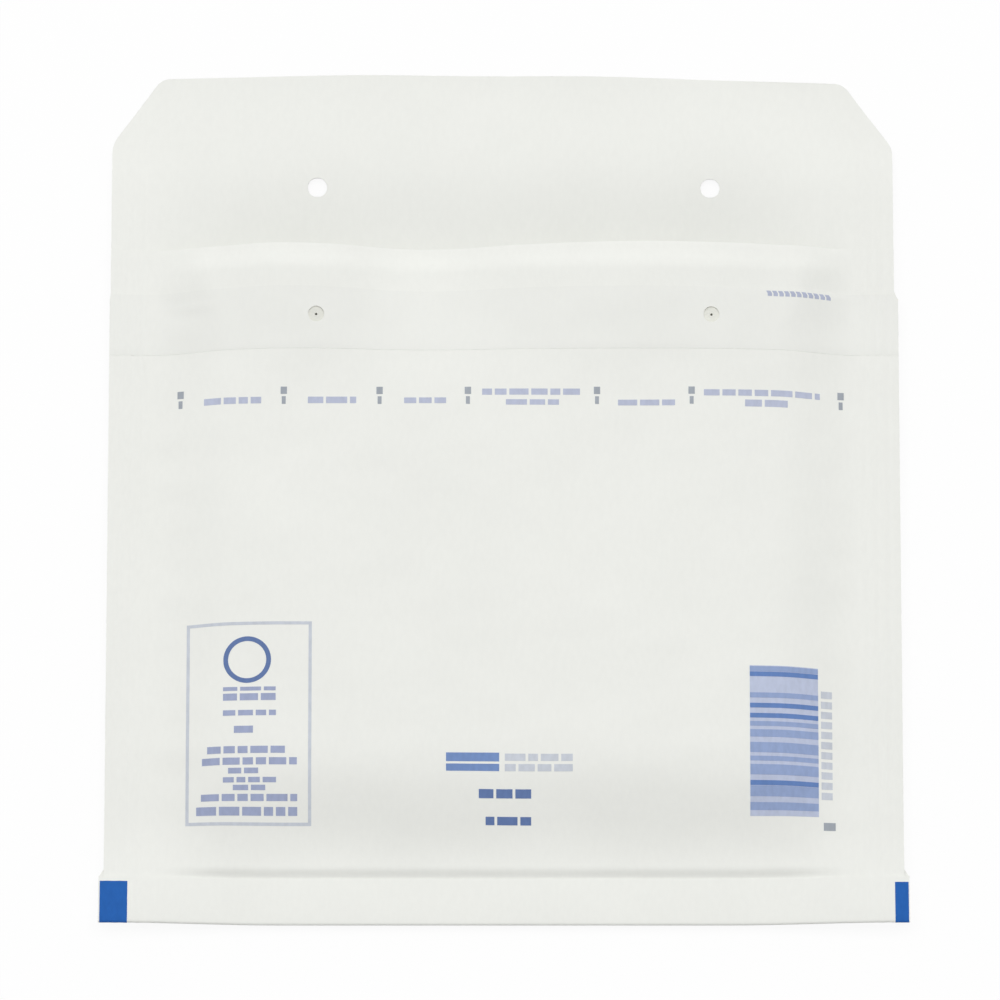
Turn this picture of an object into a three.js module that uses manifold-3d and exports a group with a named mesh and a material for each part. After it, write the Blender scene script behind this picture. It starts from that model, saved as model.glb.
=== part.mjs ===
// A padded envelope for a disc case: two paper sheets, each lined with bubble film, sealed along both
// sides and closed at the bottom by a glued hem. The flap is open. It lies on its back panel.
// Millimetres: X across, Y from the bottom fold towards the flap, Z up from the surface it lies on.
import * as THREE from "three";
import { mergeVertices } from "three/addons/utils/BufferGeometryUtils.js";
import Module from "manifold-3d";

// The cut sizes of the envelope.
const bodyWidth = 200;
const bodyLength = 175; // bottom fold to the crease under the mouth
const flapLength = 48.5;
const hemLength = 12;
const hemOverhang = 1.25; // how far each end of the hem stands out past the side seam
const seamWidth = 10;
const topTrimLeft = 0.2; // above the closing strip the sheets are cut a little narrower
const topTrimRight = 1;
const flapCornerAcross = 14; // the sloping cut at each corner of the flap
const flapCornerAlong = 19;
const flapCornerRound = 9;
const tipBow = 1.5; // the tip is cut this much short at its ends
const tipSkew = 0.7; // and a little more at its right end than at its left

// The layers.
const paper = 0.2;
const film = 2.4; // over the bubbles
const cutFilm = 1.7; // at the mouth, where the cut lets air out of the bubbles
const sealedFilm = 0.3; // where the seams have crushed the bubbles
const glueLine = 0.05; // between laminated layers
const adhesive = 0.15;
const liner = 0.1;
const liningSetBack = 1; // the film ends this far below the edge of the mouth

// The closing strip across the front, and the holes for paper fasteners.
const linerWidth = 16;
const linerFromMouth = 11;
const adhesiveWidth = 13.5;
const clipHoleSpacing = 100;
const clipHoleOffset = 2.5; // the pair sits right of the middle
const clipHoleFromCrease = 18.2; // in the flap and in the front, so that they meet when it is closed
const flapHoleDiameter = 5;
const bodyHoleDiameter = 4;

// How the empty envelope stands open.
const pocketGap = 4.4;
const filmSideRise = 13; // the distance from a seam over which the bubbles reach full height
const filmBottomRise = 5;
const filmMouthFall = 6; // the distance from the mouth over which they lose it
const gapSideRise = 34; // the distance from a seam over which the pocket opens
const gapBottomRise = 34;
const mouthReach = 42; // the waves of the mouth die out this far down
const mouthWaves = [
  { at: -57, half: 30, lift: 3.2 },
  { at: -20, half: 26, lift: -3.4 },
  { at: 34, half: 44, lift: 3 },
];

// How the back panel and the flap lie: the seams stand at about half the height of the pocket.
const sideLift = 3.4;
const sideLiftFrom = 44; // in from the side edge
const sideLiftFade = 0.7; // the share of the flap over which it dies out
const bottomLift = 2.2;
const bottomLiftReach = 26;
const flapLift = 2;
const flapTipLift = 0.5;
const flapTipLiftFrom = 0.5; // the share of the flap where it starts

// The spacing of the grid that every layer is bent on.
const acrossStep = 11;
const sideStep = 5;
const sideZone = 20; // the finer columns beside each seam
const alongStep = 14;
const bottomStep = 2.5;
const bottomZone = 15; // the finer rows above the hem
const mouthStep = 2; // and below the mouth
const flapStep = 8;
const foldSteps = 6;
const holeSides = 20;
const cornerSteps = 4;

// Places that follow from the sizes. Y is 0 at the bottom fold.
const halfWidth = bodyWidth / 2;
const pocketHalf = halfWidth - seamWidth;
const crease = bodyLength;
const flapTip = bodyLength + flapLength;
const hemEdge = hemLength;
const linerTop = crease - linerFromMouth;
const linerBottom = linerTop - linerWidth;
const adhesiveInset = (linerWidth - adhesiveWidth) / 2;
const liningTop = crease - liningSetBack;
const hemStack = 3 * paper + 2 * sealedFilm + 4 * glueLine;
const foldRadius = hemStack / 2;

const ease = (value, from, to) => THREE.MathUtils.smoothstep(value, from, to);

// Values from one end to the other in equal steps no longer than the given one.
function spread(from, to, step) {
  const count = Math.max(1, Math.ceil((to - from) / step - 1e-6));
  return Array.from({ length: count + 1 }, (_, i) => from + ((to - from) * i) / count);
}

// Several runs end to end, with the value where two meet kept once.
function joined(...runs) {
  return runs.flatMap((run, i) => (i ? run.slice(1) : run));
}

// 1 at the middle of a wave, easing to 0 at its half width.
function wave(offset, half) {
  const share = THREE.MathUtils.clamp(offset / half, -1, 1);
  return 0.5 + 0.5 * Math.cos(Math.PI * share);
}

// 0 on the seams round the pocket, 1 once clear of them.
function awayFromSeams(x, y, sideRise, bottomRise) {
  const fromSides = 1 - ease(Math.abs(x), pocketHalf - sideRise, pocketHalf);
  const fromBottom = ease(y, hemEdge, hemEdge + bottomRise);
  return fromSides * fromBottom;
}

// The height of a bubble film: crushed in the seams and half let down at the cut of the mouth.
function filmAt(x, y) {
  const full = film - (film - cutFilm) * ease(y, crease - filmMouthFall, crease);
  return sealedFilm + (full - sealedFilm) * awayFromSeams(x, y, filmSideRise, filmBottomRise);
}

// The air between the two linings: even over the pocket, in waves at the mouth.
function gapAt(x, y) {
  const nearMouth = ease(y, crease - mouthReach, crease);
  const waves = mouthWaves.reduce((sum, w) => sum + w.lift * wave(x - w.at, w.half), 0);
  const open = Math.max(0, pocketGap + nearMouth * waves);
  return glueLine + open * awayFromSeams(x, y, gapSideRise, gapBottomRise);
}

// The outer face of the back sheet: flat on the surface, with its edges and its flap a little raised.
function undersideAt(x, y) {
  const side = sideLift * ease(Math.abs(x), halfWidth - sideLiftFrom, halfWidth);
  const bottom = bottomLift * (1 - ease(y, foldRadius, bottomLiftReach));
  const flapShare = THREE.MathUtils.clamp((y - crease) / flapLength, 0, 1);
  const sideOnFlap = side * (1 - ease(flapShare, 0, sideLiftFade));
  const bow = flapLift * Math.sin(Math.PI * flapShare) ** 2;
  const tip = flapTipLift * ease(flapShare, flapTipLiftFrom, 1);
  return sideOnFlap + bottom + bow + tip;
}

// The height of every face of the stack at one place, from the surface up.
function levelsAt(x, y) {
  const backOuter = undersideAt(x, y);
  const backInner = backOuter + paper;
  const backFilmLow = backInner + glueLine;
  const backFilmHigh = backFilmLow + filmAt(x, y);
  const frontFilmLow = backFilmHigh + gapAt(x, y);
  const frontFilmHigh = frontFilmLow + filmAt(x, y);
  const frontInner = frontFilmHigh + glueLine;
  const frontOuter = frontInner + paper;
  const adhesiveLow = frontOuter + glueLine;
  const adhesiveHigh = adhesiveLow + adhesive;
  const linerLow = adhesiveHigh + glueLine;
  const linerHigh = linerLow + liner;
  return {
    backOuter,
    backInner,
    backFilmLow,
    backFilmHigh,
    frontFilmLow,
    frontFilmHigh,
    frontInner,
    frontOuter,
    adhesiveLow,
    adhesiveHigh,
    linerLow,
    linerHigh,
  };
}

// Every layer of the body is bent on the same columns and rows, so that stacked layers stay parallel.
const columns = joined(
  spread(-halfWidth, -pocketHalf, sideStep),
  spread(-pocketHalf, sideZone - pocketHalf, sideStep),
  spread(sideZone - pocketHalf, pocketHalf - sideZone, acrossStep),
  spread(pocketHalf - sideZone, pocketHalf, sideStep),
  spread(pocketHalf, halfWidth, sideStep),
);
const bodyRows = joined(
  spread(foldRadius, hemEdge, 2 * bottomStep),
  spread(hemEdge, hemEdge + filmBottomRise, bottomStep),
  spread(hemEdge + filmBottomRise, hemEdge + bottomZone, 2 * bottomStep),
  spread(hemEdge + bottomZone, linerBottom, alongStep),
  [linerBottom, linerBottom + adhesiveInset, (linerBottom + linerTop) / 2],
  [(linerBottom + linerTop) / 2, linerTop - adhesiveInset, linerTop],
  spread(linerTop, crease - filmMouthFall, alongStep),
  spread(crease - filmMouthFall, liningTop, mouthStep),
  [liningTop, crease],
);

// A closed thin solid: one grid bent twice, once for each face, and a rim that joins their edges.
// The function gives the point of a column and a row on the outer (true) or the inner face.
function bentSheet(columnCount, rowCount, pointAt) {
  const grid = new THREE.PlaneGeometry(1, 1, columnCount - 1, rowCount - 1);
  const cells = grid.getIndex().array;
  const perFace = columnCount * rowCount;
  const points = [];
  for (const outer of [true, false]) {
    for (let row = rowCount - 1; row >= 0; row -= 1) {
      for (let column = 0; column < columnCount; column += 1) {
        points.push(...pointAt(column, row, outer));
      }
    }
  }
  const faces = [];
  for (let i = 0; i < cells.length; i += 3) {
    faces.push(cells[i], cells[i + 1], cells[i + 2]);
    faces.push(perFace + cells[i], perFace + cells[i + 2], perFace + cells[i + 1]);
  }
  const lastRow = (rowCount - 1) * columnCount;
  const edges = [];
  for (let c = 0; c < columnCount - 1; c += 1) {
    edges.push([c + 1, c]);
    edges.push([lastRow + c, lastRow + c + 1]);
  }
  for (let r = 0; r < rowCount - 1; r += 1) {
    edges.push([r * columnCount, (r + 1) * columnCount]);
    edges.push([(r + 2) * columnCount - 1, (r + 1) * columnCount - 1]);
  }
  for (const [a, b] of edges) {
    faces.push(a, perFace + a, perFace + b);
    faces.push(a, perFace + b, b);
  }
  const geometry = new THREE.BufferGeometry();
  geometry.setAttribute("position", new THREE.Float32BufferAttribute(points, 3));
  geometry.setIndex(faces);
  return geometry;
}

// Where a column lies across the envelope at a row, with a cut taken off its side edge.
function acrossAt(x, y, cut) {
  const trim = x < 0 ? topTrimLeft : topTrimRight;
  const half = halfWidth - cut - trim * ease(y, linerTop - adhesiveInset, linerTop);
  return (x * half) / halfWidth;
}

// A layer of the body between two rows, with its faces at two named levels of the stack.
function bodyLayer(rows, lower, upper) {
  return bentSheet(columns.length, rows.length, (column, row, outer) => {
    const x = columns[column];
    const y = rows[row];
    return [acrossAt(x, y, 0), y, levelsAt(x, y)[outer ? upper : lower]];
  });
}

const rowsBetween = (low, high) => bodyRows.filter((y) => y >= low - 1e-6 && y <= high + 1e-6);

// The corner of the flap, as distance in from the side against Y.
const flapCorner = new THREE.CurvePath();
const cornerStart = new THREE.Vector2(0, flapTip - flapCornerAlong);
const cornerEnd = new THREE.Vector2(flapCornerAcross, flapTip);
const slope = cornerEnd.clone().sub(cornerStart).normalize();
const sideBend = cornerStart.clone().addScaledVector(slope, flapCornerRound / 2);
const tipBend = cornerEnd.clone().addScaledVector(slope, -flapCornerRound / 2);
flapCorner.add(
  new THREE.QuadraticBezierCurve(
    new THREE.Vector2(0, cornerStart.y - flapCornerRound / 2),
    cornerStart,
    sideBend,
  ),
);
flapCorner.add(new THREE.LineCurve(sideBend, tipBend));
flapCorner.add(
  new THREE.QuadraticBezierCurve(
    tipBend,
    cornerEnd,
    new THREE.Vector2(flapCornerAcross + flapCornerRound / 2, flapTip),
  ),
);

// How far in from the straight side the flap is cut at a row: nothing below the corner, then the
// sloping cut, rounded where it leaves the side and where it meets the tip.
function cornerCutAt(y) {
  const outline = flapCorner.getPoints(cornerSteps);
  const next = outline.findIndex((p) => p.y >= y - 1e-6);
  if (next <= 0) return 0;
  const low = outline[next - 1];
  const high = outline[next];
  return THREE.MathUtils.mapLinear(y, low.y, high.y, low.x, high.x);
}

// The back sheet runs from the tip of the flap under the body, round the bottom fold and up over the
// front as the hem. Each row of it has a place along that path.
const cornerRows = flapCorner.getPoints(cornerSteps).map((p) => p.y);
const flapRows = joined(
  spread(crease, cornerRows[0], flapStep),
  cornerRows.filter((y, i) => i === 0 || y > cornerRows[i - 1] + 1e-3),
);
const flatRows = joined(bodyRows, flapRows).reverse();
const hemRows = rowsBetween(foldRadius, hemEdge);
const foldTurns = spread(0, 1, 1 / foldSteps).slice(1, -1);
const backPath = [
  ...flatRows.map((y) => ({ part: "flat", y })),
  ...foldTurns.map((turn) => ({ part: "fold", turn })),
  ...hemRows.map((y) => ({ part: "hem", y })),
];

// How far the tip of the flap is cut short of a straight line, fading out towards the crease.
function tipCutAt(x, y) {
  const share = x / halfWidth;
  return (tipBow * share ** 2 + tipSkew * share) * ease(y, crease, flapTip);
}

function backSheetPoint(column, row, outer) {
  const place = backPath[row];
  const x = columns[column];
  const inset = outer ? 0 : paper;
  const onEdge = column === 0 || column === columns.length - 1;
  const inHem = place.part !== "flat" || place.y <= hemEdge + 1e-6;
  const wide = onEdge && inHem ? Math.sign(x) * hemOverhang : 0;
  if (place.part === "hem") {
    const top = levelsAt(x, place.y).frontOuter + glueLine + paper;
    return [x + wide, place.y, top - inset];
  }
  if (place.part === "fold") {
    const angle = -Math.PI * (0.5 + place.turn);
    const radius = foldRadius - inset;
    const middle = undersideAt(x, foldRadius) + foldRadius;
    return [x + wide, foldRadius + radius * Math.cos(angle), middle + radius * Math.sin(angle)];
  }
  const across = acrossAt(x, place.y, cornerCutAt(place.y)) + wide;
  const along = place.y - tipCutAt(x, place.y);
  return [across, along, undersideAt(x, place.y) + inset];
}

const wasm = await Module();
wasm.setup();

function solidOf(geometry) {
  const bare = geometry.clone();
  bare.deleteAttribute("normal");
  bare.deleteAttribute("uv");
  const merged = mergeVertices(bare);
  return new wasm.Manifold(
    new wasm.Mesh({
      numProp: 3,
      vertProperties: merged.attributes.position.array,
      triVerts: new Uint32Array(merged.index.array),
    }),
  );
}

// Punches the pair of round clip holes at one row through a sheet.
function punched(geometry, y, diameter) {
  const punchHeight = 60;
  let solid = solidOf(geometry);
  for (const side of [-1, 1]) {
    const punch = new THREE.CylinderGeometry(diameter / 2, diameter / 2, punchHeight, holeSides);
    punch.rotateX(Math.PI / 2);
    punch.translate(clipHoleOffset + (side * clipHoleSpacing) / 2, y, 0);
    solid = solid.subtract(solidOf(punch));
  }
  const mesh = solid.getMesh();
  const cut = new THREE.BufferGeometry();
  cut.setAttribute("position", new THREE.Float32BufferAttribute(mesh.vertProperties, 3));
  cut.setIndex(Array.from(mesh.triVerts));
  return cut;
}

function piece(name, geometry, color, roughness) {
  geometry.computeVertexNormals();
  const material = new THREE.MeshStandardMaterial({ color, roughness, metalness: 0 });
  const mesh = new THREE.Mesh(geometry, material);
  mesh.name = name;
  return mesh;
}

const bodyHoleRow = crease - clipHoleFromCrease;
const flapHoleRow = crease + clipHoleFromCrease;
const liningRows = rowsBetween(foldRadius, liningTop);
const adhesiveRows = rowsBetween(linerBottom + adhesiveInset, linerTop - adhesiveInset);
const linerRows = rowsBetween(linerBottom, linerTop);

const backPanel = new THREE.Group();
const backSheet = bentSheet(columns.length, backPath.length, backSheetPoint);
backPanel.add(
  piece("back_sheet", punched(backSheet, flapHoleRow, flapHoleDiameter), 0xebece7, 0.72),
  piece("back_lining", bodyLayer(liningRows, "backFilmLow", "backFilmHigh"), 0xdfe6e8, 0.3),
);

const frontPanel = new THREE.Group();
const frontLayers = [
  ["front_lining", liningRows, "frontFilmLow", "frontFilmHigh", 0xdfe6e8, 0.3],
  ["front_sheet", bodyRows, "frontInner", "frontOuter", 0xebece7, 0.72],
  ["adhesive_strip", adhesiveRows, "adhesiveLow", "adhesiveHigh", 0xe8dfc6, 0.4],
  ["release_liner", linerRows, "linerLow", "linerHigh", 0xe6e6e1, 0.5],
];
for (const [name, rows, lower, upper, color, roughness] of frontLayers) {
  const layer = punched(bodyLayer(rows, lower, upper), bodyHoleRow, bodyHoleDiameter);
  frontPanel.add(piece(name, layer, color, roughness));
}

// The origin is under the middle of the whole envelope.
const group = new THREE.Group();
group.add(backPanel, frontPanel);
group.position.y = -flapTip / 2;

export default group;
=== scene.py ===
import bpy
import numpy as np
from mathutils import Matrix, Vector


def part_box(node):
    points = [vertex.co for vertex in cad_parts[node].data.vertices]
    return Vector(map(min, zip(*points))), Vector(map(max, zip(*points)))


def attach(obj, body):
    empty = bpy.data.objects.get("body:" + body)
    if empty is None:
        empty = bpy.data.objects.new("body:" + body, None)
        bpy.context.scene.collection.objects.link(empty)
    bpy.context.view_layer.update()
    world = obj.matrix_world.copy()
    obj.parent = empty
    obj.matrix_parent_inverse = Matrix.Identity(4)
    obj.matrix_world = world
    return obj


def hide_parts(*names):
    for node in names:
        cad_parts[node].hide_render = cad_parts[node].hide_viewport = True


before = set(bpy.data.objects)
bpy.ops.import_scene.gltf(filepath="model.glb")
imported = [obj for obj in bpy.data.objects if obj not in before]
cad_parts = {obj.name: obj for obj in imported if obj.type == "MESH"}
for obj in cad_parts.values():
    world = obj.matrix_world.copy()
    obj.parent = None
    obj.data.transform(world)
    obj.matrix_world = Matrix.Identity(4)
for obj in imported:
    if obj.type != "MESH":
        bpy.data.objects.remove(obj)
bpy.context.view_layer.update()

# Back sheet: one sheet of white paper that is the back panel, goes on above the mouth as the open flap
# and is folded up over the bottom of the front as the glued hem. Two clip holes are punched in the flap.
mm = 0.001
sheet_low, sheet_high = (np.array(corner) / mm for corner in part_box("back_sheet"))
panel_low, panel_high = (np.array(corner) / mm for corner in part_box("front_sheet"))
bottom = sheet_low[1]
crease = panel_high[1]
half_width = panel_high[0]
seam_width = 10
pocket_half = half_width - seam_width
hem_length = 12
hem_edge = bottom + hem_length
hem_overhang = sheet_high[0] - half_width
paper = 0.2
glue_line = 0.05
sealed_film = 0.18
fold_radius = (3 * paper + 2 * sealed_film + 4 * glue_line) / 2
tip_bow = 1.5
tip_skew = 0.7
flap_length = sheet_high[1] - crease - tip_skew**2 / (4 * tip_bow)
flap_tip = crease + flap_length


def ease(value, start, end):
    """0 up to start, 1 from end, and three squares less two cubes of the share between."""
    share = np.clip((value - start) / (end - start), 0, 1)
    return share * share * (3 - 2 * share)


def clear_of_seams(x, y, side_rise, bottom_rise):
    """1 over the open pocket, easing to 0 at both side seams and at the hem, over the two distances."""
    from_sides = 1 - ease(np.abs(x), pocket_half - side_rise, pocket_half)
    return from_sides * ease(y, hem_edge, hem_edge + bottom_rise)


def soft_waves(x, y, seed, shortest, longest, count=9):
    """The mean of sine waves that cross the sheet in seeded directions, each of its own seeded length."""
    draw = np.random.default_rng(seed)
    total = 0
    for _ in range(count):
        turn, shift = draw.uniform(0, 2 * np.pi, 2)
        length = draw.uniform(shortest, longest)
        along = x * np.cos(turn) + y * np.sin(turn)
        total = total + np.sin(2 * np.pi * along / length + shift)
    return total / count


rib_height = 0.07
rib_pitch = 2.9


def seam_ribs(x):
    """Fine ribs that the sealing bars press along each side seam: a cosine of the way into the seam."""
    into = np.abs(x) - pocket_half
    fade = ease(into, -0.5, 1.5) * (1 - ease(into, seam_width - 2, seam_width))
    return rib_height * np.cos(2 * np.pi * into / rib_pitch) * fade


side_lift = 3.4
side_lift_zone = 44
fold_lift = 2.2
fold_lift_zone = 26
flap_bow = 2
tip_lift = 0.5
flap_wave = 0.9


def underside(x, y):
    """Height of the sheet's outer face: flat on the table, easing up to the side seams and to the bottom
    fold, with the flap bowed by a squared sine and faintly waved."""
    side = side_lift * ease(np.abs(x), half_width - side_lift_zone, half_width)
    low_end = fold_lift * (1 - ease(y, bottom + fold_radius, bottom + fold_lift_zone))
    share = np.clip((y - crease) / flap_length, 0, 1)
    bow = flap_bow * np.sin(np.pi * share) ** 2 + tip_lift * ease(share, 0.5, 1)
    flap_waves = flap_wave * soft_waves(x, y, 7, 40, 110) * ease(share, 0.05, 0.5)
    return side * (1 - ease(share, 0, 0.7)) + low_end + bow + flap_waves + seam_ribs(x) * (1 - share)


film = 2.4
cut_film = 1.7
film_mouth_fall = 6
film_side_rise = 22
mouth_side_rise = 15
mouth_rise_zone = 30
hem_step = 0.3
hem_step_width = 2.6
hem_rise = 28


def film_height(x, y):
    """Height of a bubble film: full over the pocket, lower at the cut mouth, crushed flat in the seams. It
    springs up by a short step at the hem and rises gently beyond it. It rises gently from the side seams
    too, over a shorter way near the mouth."""
    full = film - (film - cut_film) * ease(y, crease - film_mouth_fall, crease)
    from_hem = hem_step * ease(y, hem_edge, hem_edge + hem_step_width)
    from_hem = from_hem + (1 - hem_step) * ease(y, hem_edge, hem_edge + hem_rise)
    near_mouth = ease(y, crease - mouth_rise_zone, crease)
    side_rise = film_side_rise - (film_side_rise - mouth_side_rise) * near_mouth
    from_sides = 1 - ease(np.abs(x), pocket_half - side_rise, pocket_half)
    return sealed_film + (full - sealed_film) * from_sides * from_hem


pocket_open = 4.4
pocket_rise = 34
wave_zone = 42
mouth_waves = [(-57, 30, 3.2), (-20, 26, -3.4), (34, 44, 3.0)]


def pocket_gap(x, y):
    """The air between the linings: even over the pocket, with three cosine waves growing at the mouth."""
    waves = 0
    for middle, half, lift in mouth_waves:
        waves = waves + lift * (0.5 + 0.5 * np.cos(np.pi * np.clip((x - middle) / half, -1, 1)))
    opened = pocket_open + waves * ease(y, crease - wave_zone, crease)
    return glue_line + opened * clear_of_seams(x, y, pocket_rise, pocket_rise)


def bubble_crowns(x, y, radius):
    """Domes on a staggered lattice, 11 mm apart: one less the fourth power of the distance over radius."""
    pitch = 11.0
    row_pitch = pitch * np.sqrt(3)

    def to_nearest(dx, dy):
        nearest_x = (dx + pitch / 2) % pitch - pitch / 2
        nearest_y = (dy + row_pitch / 2) % row_pitch - row_pitch / 2
        return np.hypot(nearest_x, nearest_y)

    nearest = np.minimum(to_nearest(x, y), to_nearest(x - pitch / 2, y - row_pitch / 2))
    return np.clip(1 - (nearest / radius) ** 4, 0, 1)


long_wave = 0.5
short_wave = 0.12
crown_trace = 0.03
pucker = 0.35
mouth = crease + 0.8
mouth_droop = 0.3
droop_width = 2.4


def panel_softness(x, y):
    """What the stuffed front panel adds to its even form: long faint waves, a trace of the bubbles, short
    puckers beside the seams and a mouth whose edge droops over its last 2.4 mm."""
    open_share = clear_of_seams(x, y, 16, 14)
    waves = long_wave * soft_waves(x, y, 3, 28, 75) + short_wave * soft_waves(x, y, 5, 9, 20)
    crowns = crown_trace * bubble_crowns(x, y, 5.4)
    pucker_band = ease(np.abs(x), pocket_half - 22, pocket_half - 5) * clear_of_seams(x, y, 5, 8)
    puckers = pucker * soft_waves(0.25 * x, y, 11, 7, 19) * pucker_band
    into_droop = np.clip(y - mouth + droop_width, 0, None) / droop_width
    droop = mouth_droop * into_droop**2 * clear_of_seams(x, y, 6, 5)
    return (waves + crowns) * open_share + puckers - droop


def front_face(x, y):
    """Height of the front panel's outer face: the underside, two papers, two films, the glue lines and the
    open pocket, with the panel's own softness."""
    stack = 2 * paper + 2 * glue_line + 2 * film_height(x, y) + pocket_gap(x, y)
    return underside(x, y) + stack + panel_softness(x, y)


def lines(stops, steps):
    """Grid lines through all the stops, in equal steps no longer than the one given for each span."""
    spans = []
    for start, end, step in zip(stops, stops[1:], steps):
        count = int(np.ceil((end - start) / step - 1e-6))
        spans.append(np.linspace(start, end, count + 1)[1:])
    return np.concatenate([stops[:1], *spans])


hole_step = 0.45
hole_core = 4 * hole_step
hole_zone = 10 * hole_step
hole_centres = (2.5 - 50, 2.5 + 50)
hole_from_crease = 18.2
flap_hole_radius = 2.5
body_hole_radius = 2.0
film_hole_radius = 0.3


def punch(x, y, centre, row, radius):
    """Bends the grid round a hole. The square core about the nearest grid line becomes the circle, outside
    the zone nothing moves, and between them it is a blend. Returns x, y and which cells are left."""
    nearest = columns[np.argmin(np.abs(columns - centre))]
    dx = x - nearest
    dy = y - row
    square = np.maximum(np.abs(dx), np.abs(dy))
    share = np.clip((square - hole_core) / (hole_zone - hole_core), 0, 1)
    away = np.maximum(np.hypot(dx, dy), 1e-6)
    round_x = centre + radius * dx / away
    round_y = row + radius * dy / away
    cell = np.maximum(
        np.maximum(square[:-1, :-1], square[1:, 1:]), np.maximum(square[:-1, 1:], square[1:, :-1])
    )
    return share * x + (1 - share) * round_x, share * y + (1 - share) * round_y, cell > hole_core + 1e-3


def closed_sheet(name, outer, inner, kept=None):
    """A closed thin body between two grids of points. Each kept cell is a face on both grids, and each side
    of a kept cell with no kept neighbour gets a wall from one grid to the other."""
    row_count, column_count = outer.shape[:2]
    if kept is None:
        kept = np.ones((row_count - 1, column_count - 1), bool)
    under = row_count * column_count
    index = np.arange(under).reshape(row_count, column_count)
    corners = np.stack([index[:-1, :-1], index[:-1, 1:], index[1:, 1:], index[1:, :-1]], axis=-1)
    faces = [corners[kept], corners[kept][:, ::-1] + under]
    around = np.pad(kept, 1)
    neighbours = [around[:-2, 1:-1], around[1:-1, 2:], around[2:, 1:-1], around[1:-1, :-2]]
    for side, neighbour in enumerate(neighbours):
        open_side = kept & ~neighbour
        start = corners[..., side][open_side]
        end = corners[..., (side + 1) % 4][open_side]
        faces.append(np.stack([end, start, start + under, end + under], axis=-1))
    points = np.concatenate([outer.reshape(-1, 3), inner.reshape(-1, 3)])
    return solid(name, points, np.concatenate(faces))


def solid(name, points, faces):
    """A smooth-shaded mesh object from points in millimetres and four-cornered faces."""
    used, numbered = np.unique(faces, return_inverse=True)
    mesh = bpy.data.meshes.new(name)
    mesh.from_pydata((points[used] * mm).tolist(), [], numbered.reshape(-1, 4).tolist())
    mesh.shade_smooth()
    mesh.set_sharp_from_angle(angle=np.radians(50))
    piece = bpy.data.objects.new(name, mesh)
    bpy.context.scene.collection.objects.link(piece)
    return piece


def finished(piece, material, slot, *nodes):
    """Gives a piece its material and its place on the body, and hides the nodes that it stands for. The
    slot is not used.
    """
    piece.data.materials.append(material)
    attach(piece, "root")
    if nodes:
        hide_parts(*nodes)


strip_low, strip_high = (np.array(corner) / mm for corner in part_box("release_liner"))
top_trim_left = 0.2
top_trim_right = 1.0
trim_low = strip_low[1] + 14.75
trim_high = strip_high[1]


def across(x, y, cut):
    """Where a column lies at a row: its share of a half width that is trimmed above the strip, and cut."""
    trim = np.where(x < 0, top_trim_left, top_trim_right) * ease(y, trim_low, trim_high)
    return x * (half_width - cut - trim) / half_width


# The corner of the flap: up the straight side, round onto a sloping cut, and round again onto the tip.
corner_across, corner_along, corner_round = 12.4, 18.2, 5.0
corner_start = np.array([0, flap_tip - corner_along])
corner_end = np.array([corner_across, flap_tip])
slope = (corner_end - corner_start) / np.hypot(corner_across, corner_along)
side_bend = corner_start + slope * corner_round / 2
tip_bend = corner_end - slope * corner_round / 2


def rounded(start, middle, end, count):
    """A quadratic curve between two points that leaves each one towards the middle point."""
    share = np.linspace(0, 1, count)[:, None]
    return (1 - share) ** 2 * start + 2 * share * (1 - share) * middle + share**2 * end


corner_outline = np.concatenate(
    [
        rounded(corner_start - [0, corner_round / 2], corner_start, side_bend, 12),
        np.linspace(side_bend, tip_bend, 14)[1:-1],
        rounded(tip_bend, corner_end, corner_end + [corner_round / 2, 0], 14),
    ]
)
corner_low = corner_outline[0, 1]

seam_columns, outer_columns = 89, 76
columns = lines(
    [-half_width, -seam_columns, -outer_columns]
    + [hole_centres[0] - hole_zone, hole_centres[0] + hole_zone]
    + [hole_centres[1] - hole_zone, hole_centres[1] + hole_zone]
    + [outer_columns, seam_columns, half_width],
    [0.55, 0.9, 1.3, hole_step, 1.3, hole_step, 1.3, 0.9, 0.55],
)
flap_hole_row = crease + hole_from_crease
flap_rows = lines(
    [crease, flap_hole_row - hole_zone, flap_hole_row + hole_zone, corner_low],
    [1.4, hole_step, 1.4],
)
back_rows = lines([bottom + fold_radius, hem_edge, crease], [1.6, 2.0])
flat_y = np.concatenate([corner_outline[::-1, 1], flap_rows[-2::-1], back_rows[-2::-1]])
fold_turns = lines([0, 1], [0.1])[1:-1]
hem_y = lines([bottom + fold_radius, hem_edge], [0.8])


def round_fold(x, turn, radius):
    """Points round the bottom fold: a half circle from its lowest line, turn 0, to its highest, turn 1."""
    angle = -np.pi * (0.5 + turn)
    middle = underside(x, bottom + fold_radius) + fold_radius
    fold_y = bottom + fold_radius + radius * np.cos(angle)
    return np.stack([x, fold_y, middle + radius * np.sin(angle)], axis=-1)


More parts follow.
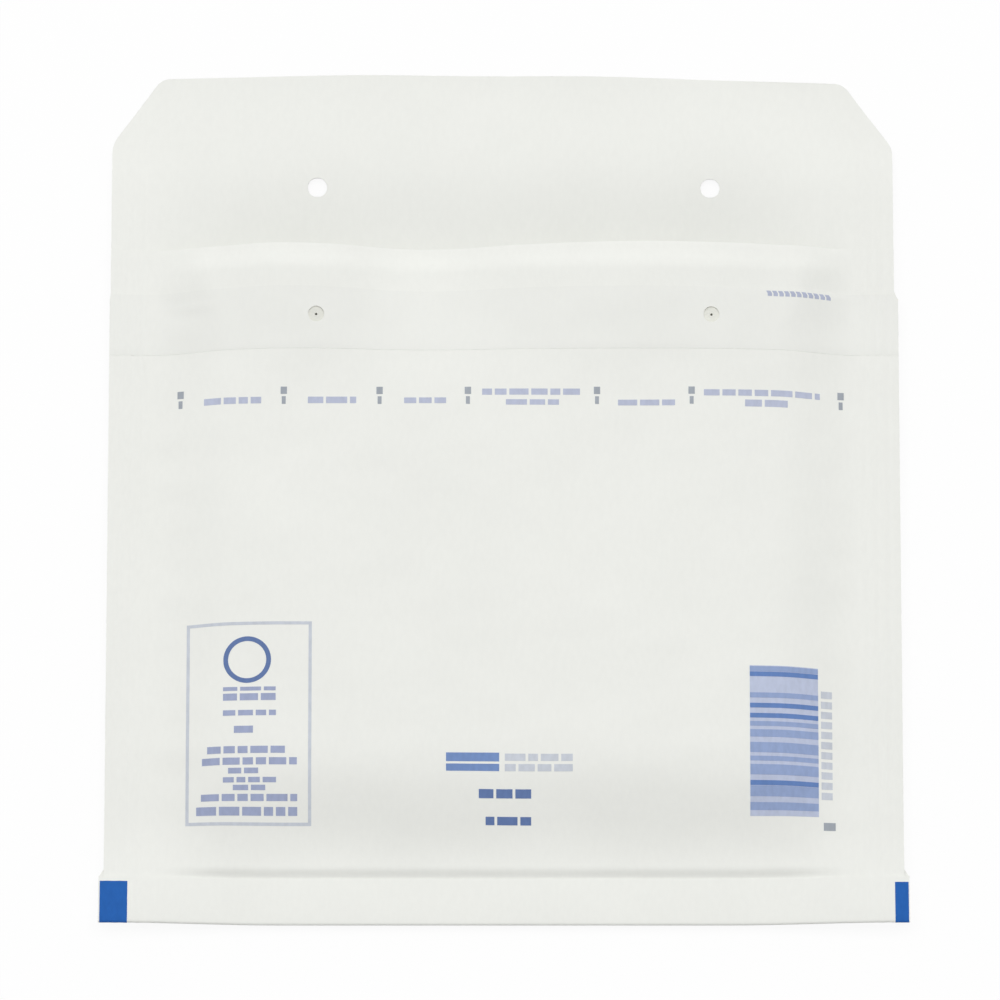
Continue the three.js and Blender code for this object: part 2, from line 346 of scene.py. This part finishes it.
def back_sheet_face(inset):
    """One face of the back sheet, row by row from the tip of the flap down to the fold, round it by a half
    circle and up the hem. The inset is 0 for the outer face and the paper's thickness for the inner one."""
    x, y = np.meshgrid(columns, flat_y)
    kept = np.ones((len(flat_y) - 1, len(columns) - 1), bool)
    for centre in hole_centres:
        trim = top_trim_left if centre < 0 else top_trim_right
        before_trim = centre * half_width / (half_width - trim)
        x, y, left = punch(x, y, before_trim, flap_hole_row, flap_hole_radius)
        kept &= left
    cut = np.interp(flat_y, corner_outline[:, 1], corner_outline[:, 0])[:, None]
    side_edge = np.zeros(len(columns))
    side_edge[[0, -1]] = [-hem_overhang, hem_overhang]
    share = x / half_width
    tip_cut = (tip_bow * share**2 + tip_skew * share) * ease(y, crease, flap_tip)
    wide = side_edge * (y <= hem_edge)
    flat = np.stack([across(x, y, cut) + wide, y - tip_cut, underside(x, y) + inset], axis=-1)

    x, turn = np.meshgrid(columns, fold_turns)
    fold = round_fold(x, turn, fold_radius - inset)
    fold[..., 0] += side_edge

    x, y = np.meshgrid(columns, hem_y)
    hem = np.stack([x + side_edge, y, front_face(x, y) + glue_line + paper - inset], axis=-1)
    whole = np.ones((len(fold_turns) + len(hem_y), len(columns) - 1), bool)
    return np.concatenate([flat, fold, hem]), np.concatenate([kept, whole])


def node(tree, kind, **sockets):
    """Adds a shader node and sets its inputs by name, each to a value or to another node's output."""
    made = tree.nodes.new(kind)
    for name, value in sockets.items():
        socket = made.inputs[name.replace("_", " ")]
        if isinstance(value, bpy.types.NodeSocket):
            tree.links.new(value, socket)
        else:
            socket.default_value = value
    return made


def noise(tree, scale, detail, stretch=(1, 1, 1)):
    """A noise value from 0 to 1 on the piece's own coordinates, with the given count of spots a metre."""
    place = node(tree, "ShaderNodeTexCoord").outputs["Object"]
    stretched = node(tree, "ShaderNodeMapping", Vector=place, Scale=stretch).outputs["Vector"]
    return node(tree, "ShaderNodeTexNoise", Vector=stretched, Scale=scale, Detail=detail).outputs["Fac"]


def rescaled(tree, value, low, high):
    """A noise value spread to run from low to high."""
    sockets = {"Value": value, "From Min": 0.3, "From Max": 0.7, "To Min": low, "To Max": high}
    return node(tree, "ShaderNodeMapRange", **sockets).outputs["Result"]


def paper_material(name, colour, roughness, cloud=0.01, fibre=0.008, grain=0.00002):
    """Paper: its colour a little lighter and darker in clouds and in fibres, over a fine bumpy grain."""
    material = bpy.data.materials.new(name)
    material.use_nodes = True
    tree = material.node_tree
    surface = tree.nodes["Principled BSDF"]
    clouds = rescaled(tree, noise(tree, 45, 3), 1 - cloud, 1 + cloud)
    fibres = rescaled(tree, noise(tree, 900, 2, (1, 0.45, 1)), 1 - fibre, 1 + fibre)
    both = node(tree, "ShaderNodeMath")
    both.operation = "MULTIPLY"
    tree.links.new(clouds, both.inputs[0])
    tree.links.new(fibres, both.inputs[1])
    tint = node(tree, "ShaderNodeVectorMath", Vector=colour[:3])
    tint.operation = "SCALE"
    tree.links.new(both.outputs[0], tint.inputs["Scale"])
    tree.links.new(tint.outputs["Vector"], surface.inputs["Base Color"])
    relief = node(tree, "ShaderNodeBump", Strength=0.6, Distance=grain, Height=noise(tree, 1500, 3))
    tree.links.new(relief.outputs["Normal"], surface.inputs["Normal"])
    surface.inputs["Roughness"].default_value = roughness
    surface.inputs["Specular IOR Level"].default_value = 0.35
    return material


white_paper = paper_material("white_paper", (0.83, 0.838, 0.8, 1), 0.62)
outer, kept = back_sheet_face(0)
inner, _ = back_sheet_face(paper)
back_sheet = closed_sheet("back_sheet_folded", outer, inner, kept)
finished(back_sheet, white_paper, "paper", "back_sheet")

# Back lining: clear air-bubble film laminated to the inside of the back panel, bubbles towards the
# pocket. The seams and the hem have crushed it flat, and the cut at the mouth has emptied its last row.
lining_low, lining_high = (np.array(corner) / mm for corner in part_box("front_lining"))
body_hole_row = crease - hole_from_crease
lining_rows = lines(
    [lining_low[1], hem_edge, body_hole_row - hole_zone, body_hole_row + hole_zone, lining_high[1]],
    [1.4, 1.15, hole_step, 0.9],
)


def bubbles(x, y):
    """Thickness of the film: its two welded foils, and over each bubble a dome up to the film's height."""
    return sealed_film + (film_height(x, y) - sealed_film) * bubble_crowns(x, y, 4.8) ** 0.5


def film_material():
    """Thin clear film over white paper: a pale, faintly olive, glossy surface with soft creases."""
    material = bpy.data.materials.new("bubble_film")
    material.use_nodes = True
    tree = material.node_tree
    surface = tree.nodes["Principled BSDF"]
    shade = rescaled(tree, noise(tree, 150, 2), 0.96, 1.03)
    tint = node(tree, "ShaderNodeVectorMath", Vector=(0.715, 0.722, 0.665))
    tint.operation = "SCALE"
    tree.links.new(shade, tint.inputs["Scale"])
    tree.links.new(tint.outputs["Vector"], surface.inputs["Base Color"])
    creases = node(tree, "ShaderNodeBump", Strength=0.5, Distance=0.0002, Height=noise(tree, 260, 2))
    tree.links.new(creases.outputs["Normal"], surface.inputs["Normal"])
    surface.inputs["Roughness"].default_value = 0.2
    surface.inputs["Coat Weight"].default_value = 0.2
    surface.inputs["Coat Roughness"].default_value = 0.12
    return material


def body_layer(x, y, z):
    """A grid of points of one body layer, trimmed above the strip as every sheet of the body is."""
    return np.stack([across(x, y, 0), y, z], axis=-1)


bubble_film = film_material()
x, y = np.meshgrid(columns, lining_rows)
laminated = underside(x, y) + paper + glue_line
back_lining = closed_sheet(
    "back_lining_bubbles", body_layer(x, y, laminated + bubbles(x, y)), body_layer(x, y, laminated)
)
finished(back_lining, bubble_film, "bubble_film", "back_lining")

# Front lining: the same film laminated to the inside of the front panel, bubbles down into the pocket.
# The pair of clip holes of the body goes through it, and the film has stretched back over most of them.


def punched_body(rows, radius=body_hole_radius):
    """The grid of a body layer with the pair of clip holes of the body, where its rows reach them."""
    x, y = np.meshgrid(columns, rows)
    kept = np.ones((len(rows) - 1, len(columns) - 1), bool)
    for centre in hole_centres:
        x, y, left = punch(x, y, centre, body_hole_row, radius)
        kept &= left
    return x, y, kept


x, y, kept = punched_body(lining_rows, film_hole_radius)
laminated = front_face(x, y) - paper - glue_line
front_lining = closed_sheet(
    "front_lining_bubbles", body_layer(x, y, laminated), body_layer(x, y, laminated - bubbles(x, y)), kept
)
finished(front_lining, bubble_film, "bubble_film", "front_lining")

# Front sheet: the white paper of the front panel, glued to the back sheet along the side seams and under
# the hem. Its upper edge, a little beyond the film's and further on the right, is the mouth, and the clip
# holes go through it.
mouth_right_rise = 0.5
front_rows = lines(
    [panel_low[1], hem_edge, hem_edge + 8]
    + [body_hole_row - hole_zone, body_hole_row + hole_zone, crease - 6, mouth],
    [1.6, 0.7, 1.25, hole_step, 1.0, 0.6],
)
x, y, kept = punched_body(front_rows)
y = y + mouth_right_rise * ease(x, -10, 40) * ease(y, crease - 4, mouth)
top = front_face(x, y)
front_sheet = closed_sheet("front_sheet_panel", body_layer(x, y, top), body_layer(x, y, top - paper), kept)
finished(front_sheet, white_paper, "paper", "front_sheet")

# Adhesive strip: a band of clear yellowish glue laid across the front below the mouth, a little narrower
# than the tape that covers it.
glue_low, glue_high = (np.array(corner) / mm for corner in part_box("adhesive_strip"))


def strip_rows(low, high):
    """The rows of a layer of the strip, fine round the clip holes that pass through it."""
    hole_low = max(low, body_hole_row - hole_zone)
    hole_high = min(high, body_hole_row + hole_zone)
    fine_low = body_hole_row - np.floor((body_hole_row - hole_low) / hole_step) * hole_step
    fine_high = body_hole_row + np.floor((hole_high - body_hole_row) / hole_step) * hole_step
    return lines([low, fine_low, fine_high, high], [1.0, hole_step, 1.0])


adhesive_thick = 0.08
strip_glue = 0.02
x, y, kept = punched_body(strip_rows(glue_low[1], glue_high[1]))
laid = front_face(x, y) + strip_glue
adhesive_strip = closed_sheet(
    "adhesive_band", body_layer(x, y, laid + adhesive_thick), body_layer(x, y, laid), kept
)
glue_material = paper_material("adhesive", (0.8, 0.73, 0.55, 1), 0.25, cloud=0.03, fibre=0.0)
finished(adhesive_strip, glue_material, "adhesive", "adhesive_strip")

# Release liner: a siliconed paper tape over the adhesive, slightly darker and smoother than the envelope.
# Below the adhesive its lower edge comes down onto the panel.
liner_thick = 0.06


def liner_lift(x, y):
    """How far the tape stands above the adhesive's top: one small oval blister, and below the adhesive an
    easing fall onto the panel."""
    past_glue = 1 - ease(y, strip_low[1], glue_low[1])
    blister = 0.25 * np.exp(-(((x + 79) / 5.0) ** 2) - ((y - 48) / 1.6) ** 2)
    return blister - (adhesive_thick + 2 * strip_glue - 0.01) * past_glue


def liner_base(x, y):
    """Height of the underside of the release liner."""
    return front_face(x, y) + 2 * strip_glue + adhesive_thick + liner_lift(x, y)


x, y, kept = punched_body(strip_rows(strip_low[1], strip_high[1]))
laid = liner_base(x, y)
release_liner = closed_sheet(
    "release_liner_tape", body_layer(x, y, laid + liner_thick), body_layer(x, y, laid), kept
)
liner_paper = paper_material("liner_paper", (0.812, 0.82, 0.784, 1), 0.42, cloud=0.01, fibre=0.006)
finished(release_liner, liner_paper, "liner", "release_liner")

# Printed line of small marks and words across the front below the strip, and a short pale code on the
# strip's upper edge. Ink on paper, each mark a thin patch that follows the panel.
ink_high = 0.05
ink_low = 0.01


def patch_points(left, right, low, high, height):
    """The two faces of a patch of ink on the front panel, between two columns and two rows."""
    x, y = np.meshgrid(lines([left, right], [0.7]), lines([low, high], [0.7]))
    level = height(x, y)
    return body_layer(x, y, level + ink_high), body_layer(x, y, level + ink_low)


def linear(colour):
    """A colour of 0 to 255 a channel as the share of light that it throws back."""
    share = np.array(colour) / 255
    return tuple(((share + 0.055) / 1.055) ** 2.4)


def ink_material(name, colour):
    """Printing ink that lets a little of the paper through in small uneven spots."""
    material = paper_material(name, (*linear(colour), 1), 0.6, cloud=0.03, fibre=0.05)
    material.node_tree.nodes["Principled BSDF"].inputs["Specular IOR Level"].default_value = 0.2
    return material


def printed(name, boxes, material, height=front_face):
    """One piece of ink from boxes of left, right, low and high, each a closed patch on the panel."""
    patches = [closed_sheet("patch", *patch_points(*box, height)) for box in boxes]
    merged = patches[0]
    if len(patches) > 1:
        with bpy.context.temp_override(active_object=merged, selected_editable_objects=patches):
            bpy.ops.object.join()
    merged.name = name
    merged.data.name = name
    finished(merged, material, "paper")


def marks_up(left, right, low, thick, pitch, count):
    """Equal boxes stacked up from low, one at each pitch."""
    return [(left, right, low + pitch * step, low + thick + pitch * step) for step in range(count)]


def words(left, right, low, high, seed):
    """Boxes of words of seeded lengths, set in one row between left and right."""
    draw = np.random.default_rng(seed)
    boxes = []
    start = left
    while right - start > 1.2:
        end = min(right, start + draw.uniform(2.2, 5.5))
        if right - end < 1.5:
            end = right
        boxes.append((start, end, low, high))
        start = end + 0.7
    return boxes


pale_ink = ink_material("pale_ink", (182, 188, 208))
tick_ink = ink_material("tick_ink", (160, 166, 174))
tick_columns = (-81.8, -55.6, -31.4, -9.1, 23.5, 47.4, 85.2)
ticks = []
for column in tick_columns:
    ticks.append((column - 0.8, column + 0.8, 24.4, 26.3))
    ticks.append((column - 0.5, column + 0.5, 21.8, 23.8))
printed("printed_ticks", ticks, tick_ink)
line_of_words = []
for seed, row in enumerate(
    [
        (-75.8, -61.3, 22.0, 23.7),
        (-49.5, -37.3, 22.0, 23.7),
        (-25.2, -14.6, 22.0, 23.5),
        (-5.5, 19.2, 24.2, 25.8),
        (0.5, 13.9, 21.6, 23.0),
        (28.8, 43.2, 21.4, 22.9),
        (50.5, 79.9, 24.0, 25.6),
        (60.9, 71.7, 21.2, 23.0),
    ]
):
    line_of_words += words(*row, seed)
printed("printed_line", line_of_words, pale_ink)


def liner_face(x, y):
    """Height of the top of the release liner."""
    return liner_base(x, y) + liner_thick


code_ink = ink_material("code_ink", (176, 182, 202))
code = [(66.8 + 1.5 * step, 67.9 + 1.5 * step, 50.3, 51.7) for step in range(11)]
printed("printed_code", code, code_ink, liner_face)

# Framed block at the lower left: a thin pale frame round a plain ring and rows of small print.
frame_ink = ink_material("frame_ink", (198, 203, 212))
block_ink = ink_material("block_ink", (158, 167, 196))
left, right, low, high = -79.7, -48.2, -86.7, -35.1
rule = 0.8
frame_rules = [
    (left, right, high - rule, high),
    (left, right, low, low + rule),
    (left, left + rule, low + rule, high - rule),
    (right - rule, right, low + rule, high - rule),
]
printed("printed_frame", frame_rules, frame_ink)


def ring(name, centre_x, centre_y, radius, width, material):
    """A ring of ink: a closed band of constant width carried once round a circle."""
    turn, out = np.meshgrid(np.linspace(0, 2 * np.pi, 73), np.linspace(radius - width, radius, 4))
    x = centre_x + out * np.cos(turn)
    y = centre_y + out * np.sin(turn)
    level = front_face(x, y)
    top = np.stack([x, y, level + ink_high], axis=-1)[:, ::-1]
    base = np.stack([x, y, level + ink_low], axis=-1)[:, ::-1]
    finished(closed_sheet(name, top, base), material, "paper")


symbol_ink = ink_material("symbol_ink", (98, 120, 166))
ring("printed_ring", -64.4, -44.9, 6.0, 1.2, symbol_ink)
label = words(-70.4, -57.2, -55.4, -53.6, 18) + words(-70.4, -57.2, -52.9, -51.9, 19)
printed("printed_label", label, block_ink)
small_print = []
for seed, row in enumerate(
    [
        (-70.4, -57.1, -59.3, -57.9),
        (-67.6, -61.0, -63.8, -62.0),
        (-74.3, -54.8, -69.0, -67.2),
        (-75.6, -51.8, -71.9, -70.1),
        (-69.0, -59.8, -74.1, -72.7),
        (-70.3, -57.0, -76.3, -75.0),
        (-67.8, -59.7, -78.2, -76.9),
        (-75.8, -51.7, -80.8, -79.1),
        (-77.0, -51.7, -84.3, -82.2),
    ]
):
    small_print += words(*row, 20 + seed)
printed("printed_rows", small_print, block_ink)

# Centre block: a blue bar with a pale line through it, two rows of pale marks beside it and two short
# rows of dark marks below.
strong_ink = ink_material("strong_ink", (116, 142, 190))
printed("printed_bar", [(-14.5, -1.2, -71.2, -69.0), (-14.5, -1.2, -73.6, -71.8)], strong_ink)
beside = words(0.2, 17.2, -71.0, -69.2, 31) + words(0.2, 17.2, -73.6, -71.8, 32)
printed("printed_marks", beside, frame_ink)
sizes = words(-6.3, 6.8, -80.2, -78.0, 33) + words(-4.6, 6.8, -86.6, -84.6, 34)
printed("printed_sizes", sizes, symbol_ink)

# Striped block at the lower right: a dark band, a pale gap and uneven blue stripes over a pale field, with
# small marks beside it.
field_ink = ink_material("field_ink", (186, 194, 216))
stripe_ink = ink_material("stripe_ink", (146, 163, 200))
dark_stripe_ink = ink_material("dark_stripe_ink", (100, 130, 184))
left, right = 61.6, 78.8
printed("printed_field", [(left, right, -84.4, -46.4)], field_ink)


def over_field(x, y):
    """The stripes lie on the pale field, a hair above it."""
    return front_face(x, y) + ink_high


stripe_draw = np.random.default_rng(41)
pale_stripes = [(left, right, -47.9, -46.6)]
dark_stripes = [(left, right, -49.2, -48.0)]
thin = 1.2
stripes_end = -53.4
row = -83.0
while row < stripes_end - 1:
    thick = stripe_draw.choice([thin, 1.9, 2.6])
    stripes = pale_stripes
    if stripe_draw.uniform() < 0.4:
        thick = thin
        stripes = dark_stripes
    stripes.append((left, right, row, min(row + thick, stripes_end)))
    row += thick + stripe_draw.choice([0.1, 0.9, 1.4])
printed("printed_stripes", pale_stripes, stripe_ink, over_field)
printed("printed_dark_stripes", dark_stripes, dark_stripe_ink, over_field)
printed("printed_side_marks", marks_up(79.5, 82.3, -80.0, 1.8, 2.6, 11), frame_ink)
printed("printed_small_mark", [(80.0, 83.0, -87.8, -85.8)], tick_ink)

# Hem marks: two blue patches printed at the ends of the hem, which run round the bottom fold.
hem_blue = ink_material("hem_blue", (38, 95, 171))


def hem_patch(name, left, right, high):
    """A patch on the outer face of the hem from a row near its edge down round the fold."""
    marks_x = lines([left, right], [0.6])
    rows = lines([bottom + fold_radius, high], [0.8])[::-1]
    turns = lines([0, 1], [0.1])[::-1]
    faces = []
    for lift in (ink_high, ink_low):
        x, y = np.meshgrid(marks_x, rows)
        flat = np.stack([x, y, front_face(x, y) + glue_line + paper + lift], axis=-1)
        fold = round_fold(*np.meshgrid(marks_x, turns[1:]), fold_radius + lift)
        faces.append(np.concatenate([flat, fold])[::-1])
    finished(closed_sheet(name, *faces), hem_blue, "paper")


hem_patch("hem_mark_left", -100.9, -94.0, hem_edge - 1.3)
hem_patch("hem_mark_right", 97.6, 101.0, hem_edge - 1.6)

# Floor and studio: a white floor with the envelope's soft shadow, a white sky that is brighter at the
# horizon and towards the flap, and one large soft lamp nearly overhead. The camera looks down from the
# bottom end, with a long lens.
floor_mesh = bpy.data.meshes.new("floor")
floor_half = 4.0
floor_z = -0.0003
floor_mesh.from_pydata(
    [
        (-floor_half, -floor_half, floor_z),
        (floor_half, -floor_half, floor_z),
        (floor_half, floor_half, floor_z),
        (-floor_half, floor_half, floor_z),
    ],
    [],
    [(0, 1, 2, 3)],
)
floor = bpy.data.objects.new("floor", floor_mesh)
bpy.context.scene.collection.objects.link(floor)


floor_glow = 0.93


def floor_material():
    """White floor: mostly plain white to the camera, the rest lit, and clear when seen from below."""
    material = bpy.data.materials.new("floor_white")
    material.use_nodes = True
    tree = material.node_tree
    tree.nodes.clear()
    path = node(tree, "ShaderNodeLightPath")
    lit = node(tree, "ShaderNodeBsdfDiffuse", Color=(0.9, 0.9, 0.9, 1)).outputs["BSDF"]
    white = node(tree, "ShaderNodeEmission", Strength=1.0).outputs["Emission"]
    clear = node(tree, "ShaderNodeBsdfTransparent").outputs["BSDF"]
    share = node(tree, "ShaderNodeMath")
    share.operation = "MULTIPLY"
    share.inputs[1].default_value = floor_glow
    tree.links.new(path.outputs["Is Camera Ray"], share.inputs[0])
    seen = node(tree, "ShaderNodeMixShader", Fac=share.outputs[0])
    tree.links.new(lit, seen.inputs[1])
    tree.links.new(white, seen.inputs[2])
    behind = node(tree, "ShaderNodeNewGeometry").outputs["Backfacing"]
    sides = node(tree, "ShaderNodeMixShader", Fac=behind)
    tree.links.new(seen.outputs["Shader"], sides.inputs[1])
    tree.links.new(clear, sides.inputs[2])
    result = node(tree, "ShaderNodeOutputMaterial")
    tree.links.new(sides.outputs["Shader"], result.inputs["Surface"])
    return material


floor_mesh.materials.append(floor_material())

sky_horizon = 0.66
sky_zenith = 0.2
sky_lean = 0.42
world = bpy.data.worlds.new("studio")
bpy.context.scene.world = world
world.use_nodes = True
tree = world.node_tree
tree.nodes.clear()
path = node(tree, "ShaderNodeLightPath")
seen = node(tree, "ShaderNodeMath")
seen.operation = "MAXIMUM"
tree.links.new(path.outputs["Is Camera Ray"], seen.inputs[0])
tree.links.new(path.outputs["Is Glossy Ray"], seen.inputs[1])
direction = node(tree, "ShaderNodeTexCoord").outputs["Generated"]
axes = node(tree, "ShaderNodeSeparateXYZ", Vector=direction)
height = {"Value": axes.outputs["Z"], "To Min": sky_horizon, "To Max": sky_zenith}
from_flap = {"Value": axes.outputs["Y"], "From Min": -1, "To Min": 1 - sky_lean, "To Max": 1 + sky_lean}
strength = node(tree, "ShaderNodeMath")
strength.operation = "MULTIPLY"
tree.links.new(node(tree, "ShaderNodeMapRange", **height).outputs["Result"], strength.inputs[0])
tree.links.new(node(tree, "ShaderNodeMapRange", **from_flap).outputs["Result"], strength.inputs[1])
sky = node(tree, "ShaderNodeBackground", Color=(1, 1, 1, 1), Strength=strength.outputs[0])
white = node(tree, "ShaderNodeBackground", Color=(1, 1, 1, 1), Strength=1.0).outputs["Background"]
both = node(tree, "ShaderNodeMixShader", Fac=seen.outputs[0])
tree.links.new(sky.outputs["Background"], both.inputs[1])
tree.links.new(white, both.inputs[2])
result = node(tree, "ShaderNodeOutputWorld")
tree.links.new(both.outputs["Shader"], result.inputs["Surface"])

lamp_y, lamp_z = 0.36, 2.4
lamp_data = bpy.data.lights.new("soft_lamp", "AREA")
lamp_data.shape = "RECTANGLE"
lamp_data.size = 2.4
lamp_data.size_y = 1.2
lamp_data.energy = 45.5
lamp = bpy.data.objects.new("soft_lamp", lamp_data)
lamp.location = (-0.12, lamp_y, lamp_z)
lamp.rotation_euler = (-np.arctan2(lamp_y, lamp_z), 0, 0)
lamp.visible_glossy = False
bpy.context.scene.collection.objects.link(lamp)

camera_tilt = np.radians(15.645)
camera_distance = 2.6
aim_x, aim_y = -0.992 * mm, -0.676 * mm
camera_data = bpy.data.cameras.new("camera")
camera_data.lens = 370.25
camera_data.sensor_width = 36
camera = bpy.data.objects.new("camera", camera_data)
camera.location = (
    aim_x,
    aim_y - camera_distance * np.sin(camera_tilt),
    camera_distance * np.cos(camera_tilt),
)
camera.rotation_euler = (camera_tilt, 0, 0)
bpy.context.scene.collection.objects.link(camera)
bpy.context.scene.camera = camera
bpy.context.scene.view_settings.view_transform = "Standard"
